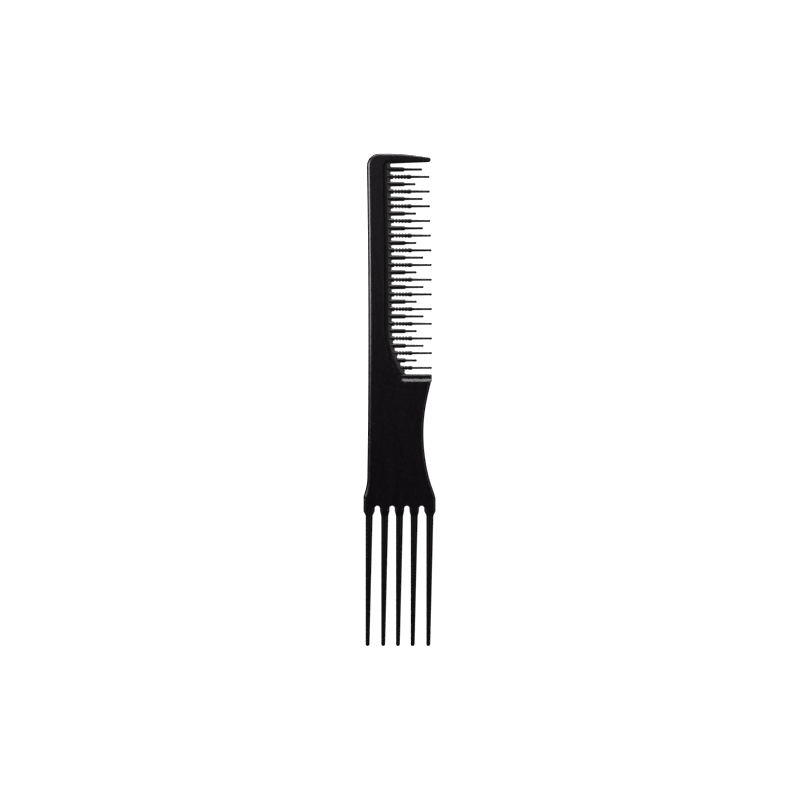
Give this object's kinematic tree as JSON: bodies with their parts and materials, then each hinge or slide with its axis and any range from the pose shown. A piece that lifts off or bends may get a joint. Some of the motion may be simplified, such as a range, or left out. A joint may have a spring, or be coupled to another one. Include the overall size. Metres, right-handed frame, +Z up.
{
  "type": "teasing comb with lift prongs",
  "caption": "One-hand hair comb: graduated fine teeth with serrated roots for back-combing at one end, a waisted handle, and a fork of tapered prongs for lifting at the other.",
  "frame": {"origin": "on the worktop under the comb, halfway along its length and in line with the middle of its yoke", "axes": "+Y along the comb from the prong tips to the guard tooth, +X across it towards the tooth tips, +Z up through its thickness from the back face that it lies on"},
  "size_m": [0.0278, 0.19, 0.0044],
  "materials": {
    "body_plastic": "satin-gloss moulded black",
    "prong_plastic": "satin black"
  },
  "bodies": {
    "root": {"end_guard_tooth": "body_plastic", "fork_yoke": "body_plastic", "handle": "body_plastic", "lift_prong_1": "prong_plastic", "lift_prong_2": "prong_plastic", "lift_prong_3": "prong_plastic", "lift_prong_4": "prong_plastic", "lift_prong_5": "prong_plastic", "prong_collar_1": "body_plastic", "prong_collar_2": "body_plastic", "prong_collar_3": "body_plastic", "prong_collar_4": "body_plastic", "prong_collar_5": "body_plastic", "spine": "body_plastic", "tooth_01_medium": "body_plastic", "tooth_02_long": "body_plastic", "tooth_03_short": "body_plastic", "tooth_04_long": "body_plastic", "tooth_05_medium": "body_plastic", "tooth_06_long": "body_plastic", "tooth_07_short": "body_plastic", "tooth_08_long": "body_plastic", "tooth_09_medium": "body_plastic", "tooth_10_long": "body_plastic", "tooth_11_short": "body_plastic", "tooth_12_long": "body_plastic", "tooth_13_medium": "body_plastic", "tooth_14_long": "body_plastic", "tooth_15_short": "body_plastic", "tooth_16_long": "body_plastic", "tooth_17_medium": "body_plastic", "tooth_18_long": "body_plastic", "tooth_19_short": "body_plastic", "tooth_20_long": "body_plastic", "tooth_21_medium": "body_plastic", "tooth_22_long": "body_plastic", "tooth_23_short": "body_plastic", "tooth_24_long": "body_plastic", "tooth_25_medium": "body_plastic", "tooth_26_long": "body_plastic", "tooth_27_short": "body_plastic", "tooth_28_long": "body_plastic"}
  },
  "joints": []
}
